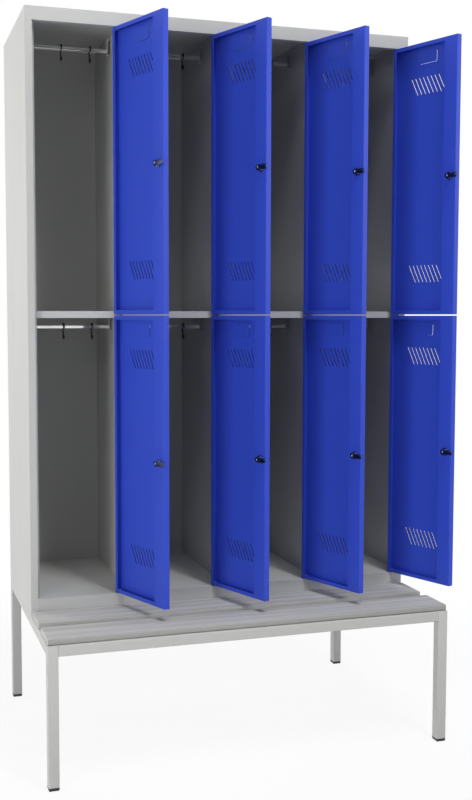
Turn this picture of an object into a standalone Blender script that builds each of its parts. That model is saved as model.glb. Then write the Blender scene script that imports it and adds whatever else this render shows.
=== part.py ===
"""Steel locker on a bench frame: four columns of two compartments, eight doors and a slatted seat.

The cabinet is folded from thin sheet: two side panels and three partitions carry the front posts,
the top panel carries the front rail, the floor pan carries the lower strip, and a shelf splits each
column. Every door is a folded pan that turns on pins at its two ends and is held by a cam lock.
A rail with two sliding hooks hangs in each compartment. The cabinet stands on a square tube frame
whose front part carries two seat slats.

Everything is modelled in the cabinet's own frame: X to the right from the left side, Y to the back
from the front plane, Z up from the floor. The empty "locker" moves it over the row's origin.
"""
import bpy
import bmesh
from math import cos, pi, radians, sin
from mathutils import Matrix, Vector

# Whole object, in metres
COLUMNS = 4
COLUMN_PITCH = 0.300
CABINET_DEPTH = 0.490
CABINET_HEIGHT = 1.753
FRAME_HEIGHT = 0.400
BENCH_REACH = 0.300
DOOR_OPEN = radians(110.5)

# Sheet metal and fits
SHEET = 0.001
FIT_GAP = 0.0003
OVERLAP = 0.0005
PAST = 0.010

# Front posts: a face, a return to the back and a lip that the doors stop against
POST_HALF_FACE = 0.021
POST_RETURN = 0.0212
LIP_REACH = 0.0077

# Front rail of the top panel and front strip of the floor pan
RAIL_FACE_HEIGHT = 0.0385
STRIP_HEIGHT = 0.0514

# Clearances over, between and under the two doors of a column
DOOR_GAP_TOP = 0.0025
DOOR_GAP_MIDDLE = 0.004
DOOR_GAP_BOTTOM = 0.0026

# Shelf between the two compartments of a column
SHELF_OVER_DOOR_GAP = 0.0113
SHELF_FOLD_HEIGHT = 0.020
SHELF_FOLD_RETURN = 0.010

# Ear of the shelf that holds the middle hinge pin, measured from the pin
EAR_THICKNESS = 0.002
EAR_FREE_SIDE = 0.010
EAR_POST_SIDE = 0.005
EAR_FRONT = 0.0045
EAR_HEAD_BACK = 0.0150
EAR_NECK_SIDE = 0.0018
EAR_NECK_BACK = 0.0175

# Door leaf
LEAF_WIDTH = 0.252
LEAF_DEPTH = 0.019
LEAF_LIP = 0.012
LEAF_FREE_LIP = 0.048

# Hinge pin, seen from the leaf's hinge edge and outer face, and from the column's right edge
PIN_FROM_EDGE = 0.007
PIN_FROM_FACE = 0.0055
PIN_FROM_COLUMN_EDGE = 0.031
PIN_RADIUS = 0.0025
PIN_HOLE_RADIUS = 0.0028
PIN_STUB = 0.0015
PIN_REACH_IN_LEAF = 0.008

# Ventilation slots of a leaf; their edges are drawn outwards into a low rim
SLOTS = 8
SLOT_PITCH = 0.0153
SLOT_HEIGHT = 0.054
SLOT_LEAN = 0.027
SLOT_WIDTH = 0.0032
SLOT_END = 0.002
SLOT_RIM_HEIGHT = 0.0018
SLOT_GROUP_FROM_END = 0.126

# Pressed field for a name card, slit open along its free side and its bottom
FIELD_WIDTH = 0.070
FIELD_HEIGHT = 0.038
FIELD_FROM_HINGE_EDGE = 0.125
FIELD_FROM_TOP = 0.060
FIELD_DEPTH = 0.0018
FIELD_CORNER = 0.006
CORNER_STEPS = 2

# Cam lock, measured along its axis from the leaf's outer face
LOCK_FROM_FREE_EDGE = 0.021
LOCK_HEAD_RADIUS = 0.011
LOCK_HEAD_HEIGHT = 0.003
LOCK_BODY_RADIUS = 0.008
LOCK_BORE_RADIUS = 0.0056
LOCK_BODY_LENGTH = 0.0312
NUT_RADIUS = 0.012
NUT_HEIGHT = 0.005
PLUG_RADIUS = 0.0052
KEY_SLOT_LENGTH = 0.0064
KEY_SLOT_WIDTH = 0.0014
KEY_SLOT_DEPTH = 0.0025
CAM_REACH = 0.038
CAM_HALF_WIDTH = 0.008
CAM_TIP_HALF_WIDTH = 0.0065
CAM_TIP_CORNER = 0.003
CAM_THICKNESS = 0.0025
CAM_SCREW_RADIUS = 0.0045
CAM_SCREW_HEIGHT = 0.003

# Hanging rail, its end brackets and its hooks
RAIL_DEPTH_AT = 0.255
RAIL_BELOW_SHEET = {"upper": 0.050, "lower": 0.047}
RAIL_SECTION_DEPTH = 0.015
RAIL_SECTION_HEIGHT = 0.0123
RAIL_LIP = 0.0055
BRACKET_STAND_OFF = 0.010
BRACKET_DEPTH = 0.024
BRACKET_BELOW_RAIL = 0.014
BRACKET_ABOVE_RAIL = 0.034
HOOK_WIRE_RADIUS = 0.0025
HOOK_WIRE_ROUNDING = 1
HOOK_PLACES = {"left": 0.1465, "right": 0.2365}
# Path of a hook's wire round the rail and down, as (depth, height) from the rail's centre
HOOK_PATH = (
    (-0.0106, -0.0045), (-0.0106, 0.0076), (-0.0080, 0.0100), (0.0080, 0.0100),
    (0.0106, 0.0076), (0.0106, -0.0080), (0.0050, -0.0135), (0.0035, -0.0200),
    (0.0060, -0.0280), (0.0045, -0.0345), (-0.0010, -0.0380), (-0.0080, -0.0355),
    (-0.0108, -0.0290),
)

# Bench frame, feet, slats and screws
TUBE = 0.030
TUBE_WALL = 0.0015
TUBE_CORNER_STEPS = 1
LEG_WALL = 0.002
FOOT_HEIGHT = 0.010
FOOT_CHAMFER = 0.003
FOOT_SPIGOT = 0.020
SLAT_THICKNESS = 0.0177
SLAT_WIDTH = 0.122
SLAT_SET_IN = 0.002
SLAT_REAR_EDGE = 0.012
SLAT_GAP = 0.038
SLAT_ROUNDING = 0.0045
SLAT_ROUNDING_STEPS = 2
SLAT_SCREW_SPREAD = 0.025
SCREW_RADIUS = 0.002
SCREW_HOLE_RADIUS = 0.0025
SCREW_HEAD_RADIUS = 0.0045
SCREW_HEAD_HEIGHT = 0.003
SCREW_IN_WOOD = 0.010

# Facets round the small turned pieces, and round the half circle at the cam's plug end
ROUND_STEPS = 12
SMALL_ROUND_STEPS = 8
CAM_ROUND_STEPS = 6
SMOOTH_ANGLE = radians(40)
WELD_DISTANCE = 0.00005

# A foot is a square plug: four sides, and its corners stand further out than they do
FOOT_SIDES = 4
CORNER_TO_SIDE = 2 ** 0.5

# Heights and positions that follow from the sizes above
WIDTH = COLUMNS * COLUMN_PITCH
TOP = FRAME_HEIGHT + CABINET_HEIGHT
CABINET_BOTTOM = FRAME_HEIGHT + FIT_GAP
RAIL_BOTTOM = TOP - RAIL_FACE_HEIGHT
DECK_TOP = FRAME_HEIGHT + STRIP_HEIGHT
LEAF_HEIGHT = (RAIL_BOTTOM - DECK_TOP - DOOR_GAP_TOP - DOOR_GAP_MIDDLE - DOOR_GAP_BOTTOM) / 2
LOWER_LEAF_BOTTOM = DECK_TOP + DOOR_GAP_BOTTOM
UPPER_LEAF_BOTTOM = LOWER_LEAF_BOTTOM + LEAF_HEIGHT + DOOR_GAP_MIDDLE
EAR_MIDDLE = UPPER_LEAF_BOTTOM - DOOR_GAP_MIDDLE / 2
SHELF_TOP = EAR_MIDDLE + SHELF_OVER_DOOR_GAP
INSIDE_BACK = CABINET_DEPTH - SHEET - FIT_GAP
LIP_END = POST_HALF_FACE + LIP_REACH
LIP_BACK = POST_RETURN + SHEET
SHELF_FRONT = LIP_BACK + FIT_GAP
LEAF_FREE_EDGE = PIN_FROM_EDGE - LEAF_WIDTH
LEAF_INNER_FACE = LEAF_DEPTH - PIN_FROM_FACE
LEAF_SKIN_BACK = SHEET - PIN_FROM_FACE
LEAF_BOTTOMS = {"upper": UPPER_LEAF_BOTTOM, "lower": LOWER_LEAF_BOTTOM}
CEILINGS = {"upper": TOP - SHEET, "lower": SHELF_TOP - SHEET}
SLAT_BOTTOM = FRAME_HEIGHT + FIT_GAP
SLAT_CENTRES = {
    "rear": -SLAT_REAR_EDGE - SLAT_WIDTH / 2,
    "front": -SLAT_REAR_EDGE - SLAT_WIDTH - SLAT_GAP - SLAT_WIDTH / 2,
}

# Colours of the materials: (red, green, blue), roughness, metallic
FINISHES = {
    "paint_grey": ((0.50, 0.51, 0.50), 0.50, 0.0),
    "paint_blue": ((0.02, 0.05, 0.57), 0.45, 0.0),
    "slat_wood": ((0.42, 0.41, 0.39), 0.62, 0.0),
    "black_plastic": ((0.010, 0.010, 0.011), 0.55, 0.0),
    "rail_steel": ((0.60, 0.60, 0.58), 0.40, 0.6),
    "lock_metal": ((0.35, 0.36, 0.40), 0.25, 1.0),
}


def pin_x(column):
    """Where the hinge axis of a column's doors stands; columns count from one."""
    return column * COLUMN_PITCH - PIN_FROM_COLUMN_EDGE


def wall_left(column):
    """Inner face of the sheet on a column's left."""
    sheet_inside = SHEET if column == 1 else SHEET / 2
    return (column - 1) * COLUMN_PITCH + sheet_inside


def wall_right(column):
    """Inner face of the sheet on a column's right."""
    sheet_inside = SHEET if column == COLUMNS else SHEET / 2
    return column * COLUMN_PITCH - sheet_inside


def clear_scene():
    for thing in list(bpy.data.objects):
        bpy.data.objects.remove(thing, do_unlink=True)


def make_material(name):
    colour, roughness, metallic = FINISHES[name]
    material = bpy.data.materials.new(name)
    material.use_nodes = True
    shader = material.node_tree.nodes["Principled BSDF"]
    shader.inputs["Base Color"].default_value = (*colour, 1.0)
    shader.inputs["Roughness"].default_value = roughness
    shader.inputs["Metallic"].default_value = metallic
    material.diffuse_color = (*colour, 1.0)
    return material


def add_box(shape, low, high):
    """Add a box between two corners to a bmesh."""
    low = Vector(low)
    high = Vector(high)
    place = Matrix.Translation((low + high) / 2) @ Matrix.Diagonal((*(high - low), 1.0))
    bmesh.ops.create_cube(shape, size=1.0, matrix=place)


def add_rod(shape, centre, radius, low, high, steps):
    """Add an upright cylinder between two heights to a bmesh."""
    place = Matrix.Translation((centre[0], centre[1], (low + high) / 2))
    bmesh.ops.create_cone(
        shape, cap_ends=True, segments=steps, radius1=radius, radius2=radius,
        depth=high - low, matrix=place,
    )


def finished_mesh(shape, name):
    """Turn a bmesh into a mesh with outward faces."""
    bmesh.ops.recalc_face_normals(shape, faces=shape.faces)
    mesh = bpy.data.meshes.new(name)
    shape.to_mesh(mesh)
    shape.free()
    return mesh


def boxes_mesh(name, boxes):
    shape = bmesh.new()
    for low, high in boxes:
        add_box(shape, low, high)
    return finished_mesh(shape, name)


def evaluated_mesh(thing):
    """Mesh of an object after its modifiers, or of a curve, with its seams welded."""
    graph = bpy.context.evaluated_depsgraph_get()
    mesh = bpy.data.meshes.new_from_object(thing.evaluated_get(graph))
    shape = bmesh.new()
    shape.from_mesh(mesh)
    bmesh.ops.remove_doubles(shape, verts=shape.verts, dist=WELD_DISTANCE)
    bpy.data.meshes.remove(mesh)
    return finished_mesh(shape, thing.name)


def settled_mesh(blank):
    """Final mesh of a blank whose shape several pieces share; the blank and its tools go."""
    mesh = evaluated_mesh(blank)
    for tool in blank.children:
        bpy.data.objects.remove(tool)
    bpy.data.objects.remove(blank)
    return mesh


def outline_mesh(name, outlines, thickness, low=0.0, turn=None):
    """Extrude flat outlines along their normal, from low upwards; inner outlines become holes."""
    curve = bpy.data.curves.new(name, "CURVE")
    curve.dimensions = "2D"
    curve.fill_mode = "BOTH"
    curve.extrude = thickness / 2
    for outline in outlines:
        spline = curve.splines.new("POLY")
        spline.points.add(len(outline) - 1)
        for point, (x, y) in zip(spline.points, outline):
            point.co = (x, y, 0.0, 1.0)
        spline.use_cyclic_u = True
    guide = bpy.data.objects.new(name, curve)
    guides.objects.link(guide)
    mesh = evaluated_mesh(guide)
    bpy.data.objects.remove(guide)
    bpy.data.curves.remove(curve)
    mesh.transform(Matrix.Translation((0.0, 0.0, low + thickness / 2)))
    if turn is not None:
        mesh.transform(turn)
    return mesh


def turned_mesh(name, profile, steps):
    """Turn a profile of (radius, height) points round the Z axis; its ends lie on the axis."""
    shape = bmesh.new()
    corners = [shape.verts.new((radius, 0.0, height)) for radius, height in profile]
    for start, end in zip(corners, corners[1:]):
        shape.edges.new((start, end))
    mesh = bpy.data.meshes.new(name)
    shape.to_mesh(mesh)
    shape.free()
    guide = bpy.data.objects.new(name, mesh)
    guides.objects.link(guide)
    screw = guide.modifiers.new("turn", "SCREW")
    screw.steps = steps
    screw.render_steps = steps
    screw.use_merge_vertices = True
    screw.merge_threshold = WELD_DISTANCE
    turned = evaluated_mesh(guide)
    bpy.data.objects.remove(guide)
    bpy.data.meshes.remove(mesh)
    return turned


def put(name, mesh, finish, parent, location=(0.0, 0.0, 0.0), rotation=(0.0, 0.0, 0.0),
        smooth=False):
    """Place a mesh as one named piece of the locker."""
    piece = bpy.data.objects.new(name, mesh)
    parts.objects.link(piece)
    piece.parent = parent
    piece.location = location
    piece.rotation_euler = rotation
    if not mesh.materials:
        mesh.materials.append(materials[finish])
    if smooth:
        mesh.shade_smooth()
        mesh.set_sharp_from_angle(angle=SMOOTH_ANGLE)
    return piece


def combine(piece, operation, mesh, solver="EXACT"):
    """Add a shape to a piece or cut it away; the shape lies in the piece's own frame."""
    tool = bpy.data.objects.new(piece.name + "_tool", mesh)
    guides.objects.link(tool)
    tool.parent = piece
    tool.hide_render = True
    tool.display_type = "WIRE"
    step = piece.modifiers.new(operation.lower(), "BOOLEAN")
    step.operation = operation
    step.solver = solver
    step.object = tool


def sheet_outline(path):
    """Closed section of a folded sheet: the path is one face and the sheet lies on its left."""
    path = [Vector(corner) for corner in path]
    other_face = []
    for index, corner in enumerate(path):
        runs = []
        if index > 0:
            runs.append((corner - path[index - 1]).normalized())
        if index < len(path) - 1:
            runs.append((path[index + 1] - corner).normalized())
        shift = Vector((0.0, 0.0))
        for run in runs:
            shift += Vector((-run.y, run.x))
        other_face.append(corner + shift * SHEET)
    return [tuple(corner) for corner in path + other_face[::-1]]


def rounded_outline(centre, width, height, corner, steps=CORNER_STEPS):
    """Rectangle with rounded corners, counter-clockwise."""
    outline = []
    for quarter in range(4):
        across = 1 if quarter in (0, 3) else -1
        upward = 1 if quarter in (0, 1) else -1
        corner_x = centre[0] + across * (width / 2 - corner)
        corner_y = centre[1] + upward * (height / 2 - corner)
        for step in range(steps + 1):
            angle = (quarter + step / steps) * pi / 2
            outline.append((corner_x + corner * cos(angle), corner_y + corner * sin(angle)))
    return outline


# Turns that stand a flat outline up: section across the cabinet, and plate parallel to the front
ALONG_X = Matrix.Rotation(pi / 2, 4, "Z") @ Matrix.Rotation(pi / 2, 4, "X")
FACING_FRONT = Matrix.Rotation(pi / 2, 4, "X")


def lip_box(side, column_edge, low, high):
    """Stop lip on one side of the post that stands on a column edge."""
    inner = column_edge + side * (POST_HALF_FACE - OVERLAP)
    outer = column_edge + side * LIP_END
    return (
        (min(inner, outer), POST_RETURN, low),
        (max(inner, outer), LIP_BACK, high),
    )


def build_side_panel(name, is_right):
    """Outer sheet folded at the front into the post's face and return, with its stop lip."""
    path = [(0.0, INSIDE_BACK), (0.0, 0.0), (POST_HALF_FACE, 0.0), (POST_HALF_FACE, LIP_BACK)]
    post_top = RAIL_BOTTOM - FIT_GAP
    sheet_top = TOP - SHEET - FIT_GAP
    mesh = outline_mesh(name, [sheet_outline(path)], sheet_top - CABINET_BOTTOM, CABINET_BOTTOM)
    lip = boxes_mesh(name + "_lip", [lip_box(1, 0.0, DECK_TOP + FIT_GAP, post_top)])
    above_post = boxes_mesh(name + "_above_post", [
        ((SHEET, -PAST, post_top), (POST_HALF_FACE + LIP_REACH + PAST, SHELF_FRONT, TOP + PAST)),
    ])
    above_front = boxes_mesh(name + "_above_front", [
        ((-PAST, -PAST, post_top), (POST_HALF_FACE, SHEET + FIT_GAP, TOP + PAST)),
    ])
    flip = Matrix.Identity(4)
    if is_right:
        flip = Matrix.Translation((WIDTH, 0.0, 0.0)) @ Matrix.Diagonal((-1.0, 1.0, 1.0, 1.0))
    for shape in (mesh, lip, above_post, above_front):
        shape.transform(flip)
        if is_right:
            shape.flip_normals()
    piece = put(name, mesh, "paint_grey", locker)
    combine(piece, "DIFFERENCE", above_post)
    combine(piece, "DIFFERENCE", above_front)
    combine(piece, "UNION", lip)


def build_partition(number):
    """Sheet between two columns, welded into the hat-shaped post in front of it."""
    name = f"partition_{number}"
    middle = number * COLUMN_PITCH
    post_top = RAIL_BOTTOM - FIT_GAP
    sheet_top = TOP - SHEET - FIT_GAP
    sheet_low = DECK_TOP + FIT_GAP
    left = middle - POST_HALF_FACE
    right = middle + POST_HALF_FACE
    path = [(left, LIP_BACK), (left, 0.0), (right, 0.0), (right, LIP_BACK)]
    mesh = outline_mesh(name, [sheet_outline(path)], post_top - CABINET_BOTTOM, CABINET_BOTTOM)
    in_post = (
        (middle - SHEET / 2, OVERLAP, sheet_low),
        (middle + SHEET / 2, LIP_BACK + PAST, post_top - OVERLAP),
    )
    sheet = (
        (middle - SHEET / 2, SHELF_FRONT, sheet_low),
        (middle + SHEET / 2, INSIDE_BACK, sheet_top),
    )
    lips = [lip_box(side, middle, sheet_low, post_top) for side in (-1, 1)]
    piece = put(name, mesh, "paint_grey", locker)
    combine(piece, "UNION", boxes_mesh(name + "_lips", lips))
    combine(piece, "UNION", boxes_mesh(name + "_in_post", [in_post]))
    combine(piece, "UNION", boxes_mesh(name + "_sheet", [sheet]))


def build_top_panel():
    """Top sheet folded down into the front rail, with a hinge pin over each door."""
    path = [(CABINET_DEPTH, TOP), (0.0, TOP), (0.0, RAIL_BOTTOM), (LIP_BACK, RAIL_BOTTOM)]
    mesh = outline_mesh("top_panel", [sheet_outline(path)], WIDTH, turn=ALONG_X)
    additions = bmesh.new()
    pin_low = UPPER_LEAF_BOTTOM + LEAF_HEIGHT - PIN_REACH_IN_LEAF
    for column in range(1, COLUMNS + 1):
        add_rod(additions, (pin_x(column), PIN_FROM_FACE), PIN_RADIUS,
                pin_low, RAIL_BOTTOM + SHEET + PIN_STUB, SMALL_ROUND_STEPS)
    ends = bmesh.new()
    for edge in (-PAST, WIDTH - SHEET - FIT_GAP):
        add_box(ends, (edge, SHEET, RAIL_BOTTOM - PAST),
                (edge + PAST + SHEET + FIT_GAP, LIP_BACK + PAST, RAIL_BOTTOM + PAST))
    piece = put("top_panel", mesh, "paint_grey", locker)
    combine(piece, "UNION", finished_mesh(additions, "top_additions"))
    combine(piece, "DIFFERENCE", finished_mesh(ends, "top_ends"))


def build_floor_pan():
    """Floor sheet folded down at the front and back, notched round the posts, with the lower pins."""
    path = [
        (INSIDE_BACK, CABINET_BOTTOM), (INSIDE_BACK, DECK_TOP),
        (0.0, DECK_TOP), (0.0, CABINET_BOTTOM),
    ]
    edge = SHEET + FIT_GAP
    mesh = outline_mesh("floor_pan", [sheet_outline(path)], WIDTH - 2 * edge, edge, ALONG_X)
    notches = bmesh.new()
    for column in range(COLUMNS + 1):
        middle = column * COLUMN_PITCH
        half = POST_HALF_FACE + FIT_GAP
        add_box(notches, (middle - half, -PAST, FRAME_HEIGHT - PAST),
                (middle + half, LIP_BACK + FIT_GAP, DECK_TOP + PAST))
    additions = bmesh.new()
    for column in range(1, COLUMNS + 1):
        add_rod(additions, (pin_x(column), PIN_FROM_FACE), PIN_RADIUS, DECK_TOP - SHEET - PIN_STUB,
                LOWER_LEAF_BOTTOM + PIN_REACH_IN_LEAF, SMALL_ROUND_STEPS)
    piece = put("floor_pan", mesh, "paint_grey", locker)
    combine(piece, "DIFFERENCE", finished_mesh(notches, "floor_notches"))
    combine(piece, "UNION", finished_mesh(additions, "floor_additions"))


def build_shelf(column):
    """Shelf with a folded front edge and the ear with the pin that both doors turn on."""
    name = f"shelf_{column}"
    fold_bottom = SHELF_TOP - SHELF_FOLD_HEIGHT
    path = [
        (INSIDE_BACK, SHELF_TOP), (SHELF_FRONT, SHELF_TOP),
        (SHELF_FRONT, fold_bottom), (SHELF_FRONT + SHELF_FOLD_RETURN, fold_bottom),
    ]
    left = wall_left(column) + FIT_GAP
    right = wall_right(column) - FIT_GAP
    mesh = outline_mesh(name, [sheet_outline(path)], right - left, left, ALONG_X)
    axis_x = pin_x(column)
    ear_outline = [
        (axis_x - EAR_FREE_SIDE, PIN_FROM_FACE - EAR_FRONT),
        (axis_x + EAR_POST_SIDE, PIN_FROM_FACE - EAR_FRONT),
        (axis_x + EAR_POST_SIDE, PIN_FROM_FACE + EAR_HEAD_BACK),
        (axis_x + EAR_NECK_SIDE, PIN_FROM_FACE + EAR_HEAD_BACK),
        (axis_x + EAR_NECK_SIDE, PIN_FROM_FACE + EAR_NECK_BACK),
        (axis_x - EAR_FREE_SIDE, PIN_FROM_FACE + EAR_NECK_BACK),
    ]
    ear = outline_mesh(name + "_ear", [ear_outline], EAR_THICKNESS, EAR_MIDDLE - EAR_THICKNESS / 2)
    pin = bmesh.new()
    add_rod(pin, (axis_x, PIN_FROM_FACE), PIN_RADIUS,
            LOWER_LEAF_BOTTOM + LEAF_HEIGHT - PIN_REACH_IN_LEAF,
            UPPER_LEAF_BOTTOM + PIN_REACH_IN_LEAF, SMALL_ROUND_STEPS)
    piece = put(name, mesh, "paint_grey", locker)
    combine(piece, "UNION", ear)
    combine(piece, "UNION", finished_mesh(pin, name + "_pin"))


def slot_outlines(margin=0.0):
    """Leaning ventilation slots in two groups, in the leaf's face; a margin widens them."""
    outlines = []
    half_width = SLOT_WIDTH / 2 + margin
    half_height = SLOT_HEIGHT / 2 + margin
    half_lean = SLOT_LEAN / SLOT_HEIGHT * half_height
    straight = 1 - (SLOT_END + margin) / half_height
    narrow = SLOT_WIDTH / 4 + margin
    for group in (SLOT_GROUP_FROM_END, LEAF_HEIGHT - SLOT_GROUP_FROM_END):
        for slot in range(SLOTS):
            middle = PIN_FROM_EDGE - LEAF_WIDTH / 2 + (slot - (SLOTS - 1) / 2) * SLOT_PITCH
            outline = []
            for end in (1, -1):
                tip_x = middle + end * half_lean
                shoulder_x = middle + end * half_lean * straight
                shoulder_height = group + end * half_height * straight
                tip_height = group + end * half_height
                outline.append((shoulder_x + end * half_width, shoulder_height))
                outline.append((tip_x + end * narrow, tip_height))
                outline.append((tip_x - end * narrow, tip_height))
                outline.append((shoulder_x - end * half_width, shoulder_height))
            outlines.append(outline)
    return outlines


def slit_outline(centre):
    """Band round the card field's free side and bottom, as wide as the field's own wall."""
    band = []
    for width, turned_round in ((SHEET + FIT_GAP, False), (-FIT_GAP, True)):
        side = centre[0] - FIELD_WIDTH / 2 - width
        bottom = centre[1] - FIELD_HEIGHT / 2 - width
        corner = FIELD_CORNER + width
        line = [(side, centre[1] + FIELD_HEIGHT / 2 - FIELD_CORNER)]
        for step in range(CORNER_STEPS + 1):
            angle = pi + step / CORNER_STEPS * pi / 2
            line.append((side + corner + corner * cos(angle), bottom + corner + corner * sin(angle)))
        line.append((centre[0] + FIELD_WIDTH / 2 - FIELD_CORNER, bottom))
        band += line[::-1] if turned_round else line
    return band


def leaf_mesh():
    """Folded pan of a door, seen closed: hinge axis at the origin, free edge towards -X."""
    blank = put("leaf_blank", boxes_mesh("leaf_blank", [(
        (LEAF_FREE_EDGE, -PIN_FROM_FACE, 0.0),
        (PIN_FROM_EDGE, LEAF_INNER_FACE, LEAF_HEIGHT),
    )]), "paint_blue", None)
    mouth = (
        (LEAF_FREE_EDGE + LEAF_FREE_LIP, 0.0, LEAF_LIP),
        (PIN_FROM_EDGE - LEAF_LIP, LEAF_INNER_FACE + PAST, LEAF_HEIGHT - LEAF_LIP),
    )
    hollow = (
        (LEAF_FREE_EDGE + SHEET, LEAF_SKIN_BACK, SHEET),
        (PIN_FROM_EDGE - SHEET, LEAF_INNER_FACE - SHEET, LEAF_HEIGHT - SHEET),
    )
    combine(blank, "DIFFERENCE", boxes_mesh("mouth", [mouth]))
    combine(blank, "DIFFERENCE", boxes_mesh("hollow", [hollow]))
    field_centre = (
        PIN_FROM_EDGE - FIELD_FROM_HINGE_EDGE,
        LEAF_HEIGHT - FIELD_FROM_TOP + FIELD_HEIGHT / 2,
    )
    boss = rounded_outline(field_centre, FIELD_WIDTH + 2 * SHEET, FIELD_HEIGHT + 2 * SHEET,
                           FIELD_CORNER + SHEET)
    boss_front = PIN_FROM_FACE - OVERLAP
    boss_back = -LEAF_SKIN_BACK - FIELD_DEPTH
    raised = outline_mesh("boss", [boss], boss_front - boss_back, boss_back, FACING_FRONT)
    combine(blank, "UNION", raised)
    field = rounded_outline(field_centre, FIELD_WIDTH, FIELD_HEIGHT, FIELD_CORNER)
    recess_back = PIN_FROM_FACE - FIELD_DEPTH
    recess = outline_mesh("recess", [field], FIELD_DEPTH + PAST, recess_back, FACING_FRONT)
    combine(blank, "DIFFERENCE", recess)
    slit_back = boss_back - PAST
    slit = outline_mesh("field_slit", [slit_outline(field_centre)], PIN_FROM_FACE + PAST - slit_back,
                        slit_back, FACING_FRONT)
    combine(blank, "DIFFERENCE", slit)
    rims = outline_mesh("slot_rims", slot_outlines(SHEET), OVERLAP + SLOT_RIM_HEIGHT,
                        PIN_FROM_FACE - OVERLAP, FACING_FRONT)
    combine(blank, "UNION", rims)
    slots_back = PIN_FROM_FACE - SHEET - PAST
    slots = outline_mesh("slots", slot_outlines(), SHEET + 2 * PAST, slots_back, FACING_FRONT)
    combine(blank, "DIFFERENCE", slots)
    holes = bmesh.new()
    add_rod(holes, (0.0, 0.0), PIN_HOLE_RADIUS, -PAST, LEAF_HEIGHT + PAST, ROUND_STEPS)
    combine(blank, "DIFFERENCE", finished_mesh(holes, "pin_holes"))
    barrel = lock_barrel_mesh()
    barrel.transform(lock_place())
    combine(blank, "UNION", barrel)
    bore = bmesh.new()
    add_rod(bore, (0.0, 0.0), LOCK_BORE_RADIUS, -LOCK_BODY_LENGTH - PAST, PAST, ROUND_STEPS)
    bmesh.ops.transform(bore, matrix=lock_place(), verts=bore.verts)
    combine(blank, "DIFFERENCE", finished_mesh(bore, "lock_bore"))
    return settled_mesh(blank)


def lock_place():
    """Frame of the lock in a leaf: on the outer face, Z outwards, X along the leaf."""
    centre = (LEAF_FREE_EDGE + LOCK_FROM_FREE_EDGE, -PIN_FROM_FACE, LEAF_HEIGHT / 2)
    return Matrix.Translation(centre) @ FACING_FRONT


def lock_barrel_mesh():
    """Barrel of the lock: its head on the outer face, and the round nut on the inner lip."""
    nut_bottom = -LEAF_DEPTH - NUT_HEIGHT
    profile = [
        (0.0, LOCK_HEAD_HEIGHT), (LOCK_HEAD_RADIUS, LOCK_HEAD_HEIGHT),
        (LOCK_HEAD_RADIUS, -OVERLAP), (LOCK_BODY_RADIUS, -OVERLAP),
        (LOCK_BODY_RADIUS, OVERLAP - LEAF_DEPTH), (NUT_RADIUS, OVERLAP - LEAF_DEPTH),
        (NUT_RADIUS, nut_bottom), (LOCK_BODY_RADIUS, nut_bottom),
        (LOCK_BODY_RADIUS, -LOCK_BODY_LENGTH), (0.0, -LOCK_BODY_LENGTH),
    ]
    return turned_mesh("lock_barrel", profile, ROUND_STEPS)


def lock_cam_mesh():
    """Turning plug with its key slot, the cam on its end and the screw head that holds the cam."""
    cam_top = -LOCK_BODY_LENGTH - FIT_GAP
    cam_bottom = cam_top - CAM_THICKNESS
    plug = turned_mesh("plug", [
        (0.0, LOCK_HEAD_HEIGHT), (PLUG_RADIUS, LOCK_HEAD_HEIGHT), (PLUG_RADIUS, cam_bottom),
        (CAM_SCREW_RADIUS, cam_bottom), (CAM_SCREW_RADIUS, cam_bottom - CAM_SCREW_HEIGHT),
        (0.0, cam_bottom - CAM_SCREW_HEIGHT),
    ], ROUND_STEPS)
    turns = [step * pi / CAM_ROUND_STEPS for step in range(CAM_ROUND_STEPS + 1)]
    half_circle = [(CAM_HALF_WIDTH * sin(turn), CAM_HALF_WIDTH * cos(turn)) for turn in turns]
    tip = [
        (-CAM_REACH + CAM_TIP_CORNER, -CAM_TIP_HALF_WIDTH),
        (-CAM_REACH, -CAM_TIP_HALF_WIDTH + CAM_TIP_CORNER),
        (-CAM_REACH, CAM_TIP_HALF_WIDTH - CAM_TIP_CORNER),
        (-CAM_REACH + CAM_TIP_CORNER, CAM_TIP_HALF_WIDTH),
    ]
    key_slot = (
        (-KEY_SLOT_WIDTH / 2, -KEY_SLOT_LENGTH / 2, LOCK_HEAD_HEIGHT - KEY_SLOT_DEPTH),
        (KEY_SLOT_WIDTH / 2, KEY_SLOT_LENGTH / 2, LOCK_HEAD_HEIGHT + PAST),
    )
    blank = put("plug_blank", plug, "lock_metal", None)
    combine(blank, "UNION", outline_mesh("cam", [half_circle + tip], CAM_THICKNESS, cam_bottom))
    combine(blank, "DIFFERENCE", boxes_mesh("key_slot", [key_slot]))
    return settled_mesh(blank)


def build_doors():
    """Eight leaves open by the same angle, each with the turning cam of its lock."""
    leaf = leaf_mesh()
    cam = lock_cam_mesh()
    lock_at = lock_place().to_translation()
    for row, bottom in LEAF_BOTTOMS.items():
        for column in range(1, COLUMNS + 1):
            hinge = (pin_x(column), PIN_FROM_FACE, bottom)
            door = put(f"door_{row}_{column}", leaf, "paint_blue", locker, hinge,
                       (0.0, 0.0, DOOR_OPEN))
            put(f"cam_{row}_{column}", cam, "lock_metal", door, lock_at, (pi / 2, 0.0, 0.0), True)


def rail_height(row):
    return CEILINGS[row] - RAIL_BELOW_SHEET[row]


def bracket_outline(wall, facing):
    """A bracket from the front: a plate that stands off the wall, and its two ends that lie on it."""
    plate = wall + facing * BRACKET_STAND_OFF
    first, last = (-BRACKET_BELOW_RAIL, BRACKET_ABOVE_RAIL)[::facing]
    return sheet_outline([(wall, first), (plate, first), (plate, last), (wall, last)])


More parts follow.
